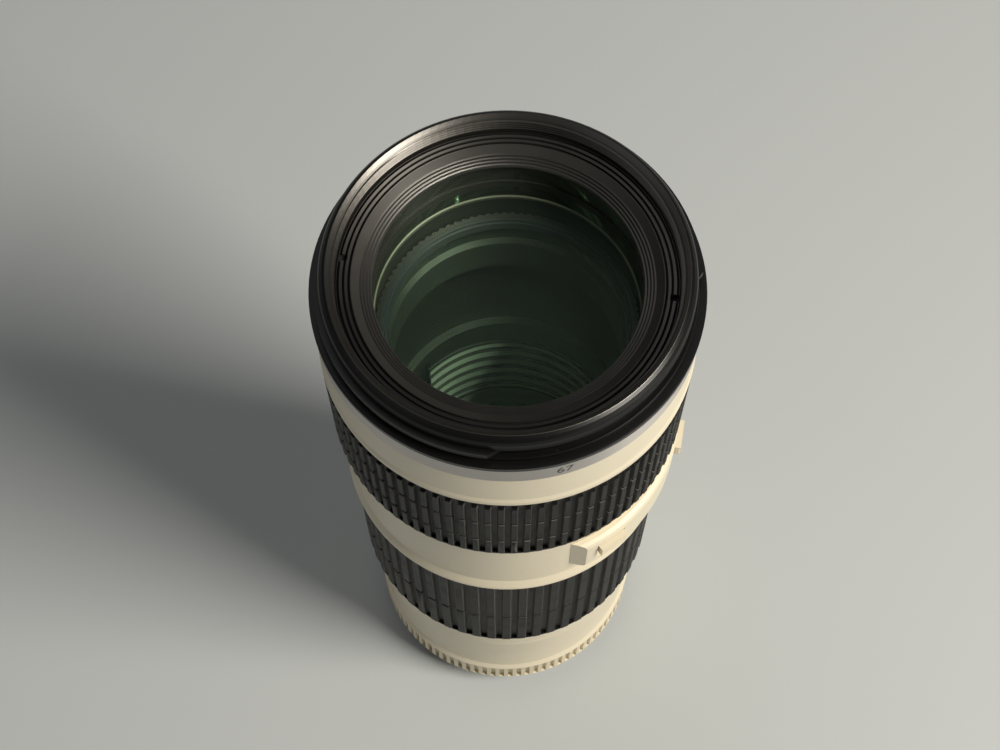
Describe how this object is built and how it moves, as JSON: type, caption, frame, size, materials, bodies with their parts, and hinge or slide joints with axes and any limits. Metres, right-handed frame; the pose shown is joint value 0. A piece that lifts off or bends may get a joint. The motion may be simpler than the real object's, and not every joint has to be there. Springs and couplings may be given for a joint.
{
  "type": "camera zoom lens",
  "caption": "White telephoto zoom lens with ribbed rubber focus and zoom rings, internal cam-driven lens groups, an iris, a filter thread and a bayonet mount.",
  "frame": {"origin": "centre of the mount's seat face, on the optical axis", "axes": "+Z along the optical axis towards the front glass; the switch panel is on the +X side towards -Y"},
  "size_m": [0.0779, 0.0764, 0.1774],
  "materials": {
    "white_paint": "satin cream-white stoved paint",
    "white_plastic": "satin cream-white moulded plastic",
    "rubber": "moulded ribbed rubber",
    "black_paint": "satin black paint",
    "black_anodised": "matt black anodised",
    "black_plastic": "matt black moulded plastic",
    "satin_aluminium": "satin turned aluminium",
    "bayonet_steel": "chromed, finely turned",
    "plain_steel": "machined",
    "brass": "machined",
    "gold_contacts": "gold-plated",
    "glass": "polished, coated",
    "window": "clear moulded window",
    "scale_paint": "matt black printed scale",
    "board": "green solder mask",
    "index_red": "red enamel",
    "blade_black": "matt black dry film"
  },
  "bodies": {
    "barrel": {"mount_plate": "bayonet_steel", "mount_screws": "plain_steel", "mount_index": "index_red", "rear_baffle": "black_plastic", "contact_block": "black_plastic", "contact_pins": "gold_contacts", "circuit_board": "board", "rear_barrel": "white_paint", "chassis_tube": "black_anodised", "guide_barrel": "black_anodised", "relay_cell": "black_anodised", "relay_glass": "glass", "rear_glass": "glass", "iris_base": "black_plastic", "iris_cover": "black_plastic", "band_shell": "white_paint", "switch_panel": "white_plastic", "distance_window": "window", "motor_stator": "brass", "motor_rotor": "plain_steel", "front_cell": "black_anodised", "front_glass": "glass", "second_glass": "glass", "front_barrel": "white_paint", "trim_ring": "satin_aluminium", "filter_ring": "black_paint", "retaining_ring": "black_anodised"},
    "focus_ring": {"focus_ring": "black_plastic", "focus_grip": "rubber"},
    "focus_cam": {"roller_carrier": "plain_steel", "carrier_rollers": "plain_steel", "focus_keys": "plain_steel", "focus_cam": "brass", "distance_scale": "scale_paint"},
    "focus_group": {"focus_cell": "black_anodised", "focus_glass": "glass", "focus_retainer": "black_anodised", "focus_rollers": "plain_steel"},
    "zoom_ring": {"zoom_ring": "white_paint", "zoom_grip": "rubber", "zoom_keys": "plain_steel", "cam_barrel": "brass"},
    "variator": {"variator_cell": "black_anodised", "variator_glass": "glass", "variator_rollers": "plain_steel"},
    "compensator": {"compensator_cell": "black_anodised", "compensator_glass": "glass", "compensator_rollers": "plain_steel"},
    "iris_ring": {"iris_ring": "black_plastic"},
    "focus_mode_switch": {"focus_mode_switch": "white_plastic"},
    "focus_range_switch": {"focus_range_switch": "white_plastic"},
    "iris_blade_1": {"iris_blade_1": "blade_black"},
    "iris_blade_2": {"iris_blade_2": "blade_black"},
    "iris_blade_3": {"iris_blade_3": "blade_black"},
    "iris_blade_4": {"iris_blade_4": "blade_black"},
    "iris_blade_5": {"iris_blade_5": "blade_black"},
    "iris_blade_6": {"iris_blade_6": "blade_black"},
    "iris_blade_7": {"iris_blade_7": "blade_black"},
    "iris_blade_8": {"iris_blade_8": "blade_black"}
  },
  "joints": [
    {"name": "focus_turn", "type": "hinge", "parent": "barrel", "child": "focus_ring", "pos_m": [0, 0, 0.13], "axis": [0, 0, 1], "range_deg": [0, 140]},
    {"name": "focus_cam_turn", "type": "hinge", "parent": "barrel", "child": "focus_cam", "pos_m": [0, 0, 0.12], "axis": [0, 0, 1], "range_deg": [0, 70]},
    {"name": "focus_slide", "type": "slide", "parent": "barrel", "child": "focus_group", "axis": [0, 0, 1], "range_m": [0, 0.0064]},
    {"name": "zoom_turn", "type": "hinge", "parent": "barrel", "child": "zoom_ring", "pos_m": [0, 0, 0.065], "axis": [0, 0, 1], "range_deg": [0, 75]},
    {"name": "variator_slide", "type": "slide", "parent": "barrel", "child": "variator", "axis": [0, 0, 1], "range_m": [0, 0.0345]},
    {"name": "compensator_slide", "type": "slide", "parent": "barrel", "child": "compensator", "axis": [0, 0, 1], "range_m": [0, 0.014]},
    {"name": "iris_turn", "type": "hinge", "parent": "barrel", "child": "iris_ring", "pos_m": [0, 0, 0.02105], "axis": [0, 0, -1], "range_deg": [0, 3.46]},
    {"name": "focus_mode_slide", "type": "slide", "parent": "barrel", "child": "focus_mode_switch", "axis": [0, 0, -1], "range_m": [0, 0.003]},
    {"name": "focus_range_slide", "type": "slide", "parent": "barrel", "child": "focus_range_switch", "axis": [0, 0, -1], "range_m": [0, 0.003]},
    {"name": "iris_blade_1_swing", "type": "hinge", "parent": "barrel", "child": "iris_blade_1", "pos_m": [0.0233, 0, 0.02105], "axis": [0, 0, 1], "range_deg": [0, 30]},
    {"name": "iris_blade_2_swing", "type": "hinge", "parent": "barrel", "child": "iris_blade_2", "pos_m": [0.01648, 0.01648, 0.02105], "axis": [0, 0, 1], "range_deg": [0, 30]},
    {"name": "iris_blade_3_swing", "type": "hinge", "parent": "barrel", "child": "iris_blade_3", "pos_m": [0, 0.0233, 0.02105], "axis": [0, 0, 1], "range_deg": [0, 30]},
    {"name": "iris_blade_4_swing", "type": "hinge", "parent": "barrel", "child": "iris_blade_4", "pos_m": [-0.01648, 0.01648, 0.02105], "axis": [0, 0, 1], "range_deg": [0, 30]},
    {"name": "iris_blade_5_swing", "type": "hinge", "parent": "barrel", "child": "iris_blade_5", "pos_m": [-0.0233, 0, 0.02105], "axis": [0, 0, 1], "range_deg": [0, 30]},
    {"name": "iris_blade_6_swing", "type": "hinge", "parent": "barrel", "child": "iris_blade_6", "pos_m": [-0.01648, -0.01648, 0.02105], "axis": [0, 0, 1], "range_deg": [0, 30]},
    {"name": "iris_blade_7_swing", "type": "hinge", "parent": "barrel", "child": "iris_blade_7", "pos_m": [0, -0.0233, 0.02105], "axis": [0, 0, 1], "range_deg": [0, 30]},
    {"name": "iris_blade_8_swing", "type": "hinge", "parent": "barrel", "child": "iris_blade_8", "pos_m": [0.01648, -0.01648, 0.02105], "axis": [0, 0, 1], "range_deg": [0, 30]}
  ],
  "couplings": [
    {"joint": "focus_cam_turn", "follows": "focus_turn", "ratio": 0.5},
    {"joint": "focus_slide", "follows": "focus_turn", "m_per_rad": 0.0026192},
    {"joint": "variator_slide", "follows": "zoom_turn", "m_per_rad": 0.026356},
    {"joint": "compensator_slide", "follows": "zoom_turn", "m_per_rad": 0.010695},
    {"joint": "iris_blade_1_swing", "follows": "iris_turn", "ratio": 8.673},
    {"joint": "iris_blade_2_swing", "follows": "iris_turn", "ratio": 8.673},
    {"joint": "iris_blade_3_swing", "follows": "iris_turn", "ratio": 8.673},
    {"joint": "iris_blade_4_swing", "follows": "iris_turn", "ratio": 8.673},
    {"joint": "iris_blade_5_swing", "follows": "iris_turn", "ratio": 8.673},
    {"joint": "iris_blade_6_swing", "follows": "iris_turn", "ratio": 8.673},
    {"joint": "iris_blade_7_swing", "follows": "iris_turn", "ratio": 8.673},
    {"joint": "iris_blade_8_swing", "follows": "iris_turn", "ratio": 8.673}
  ]
}
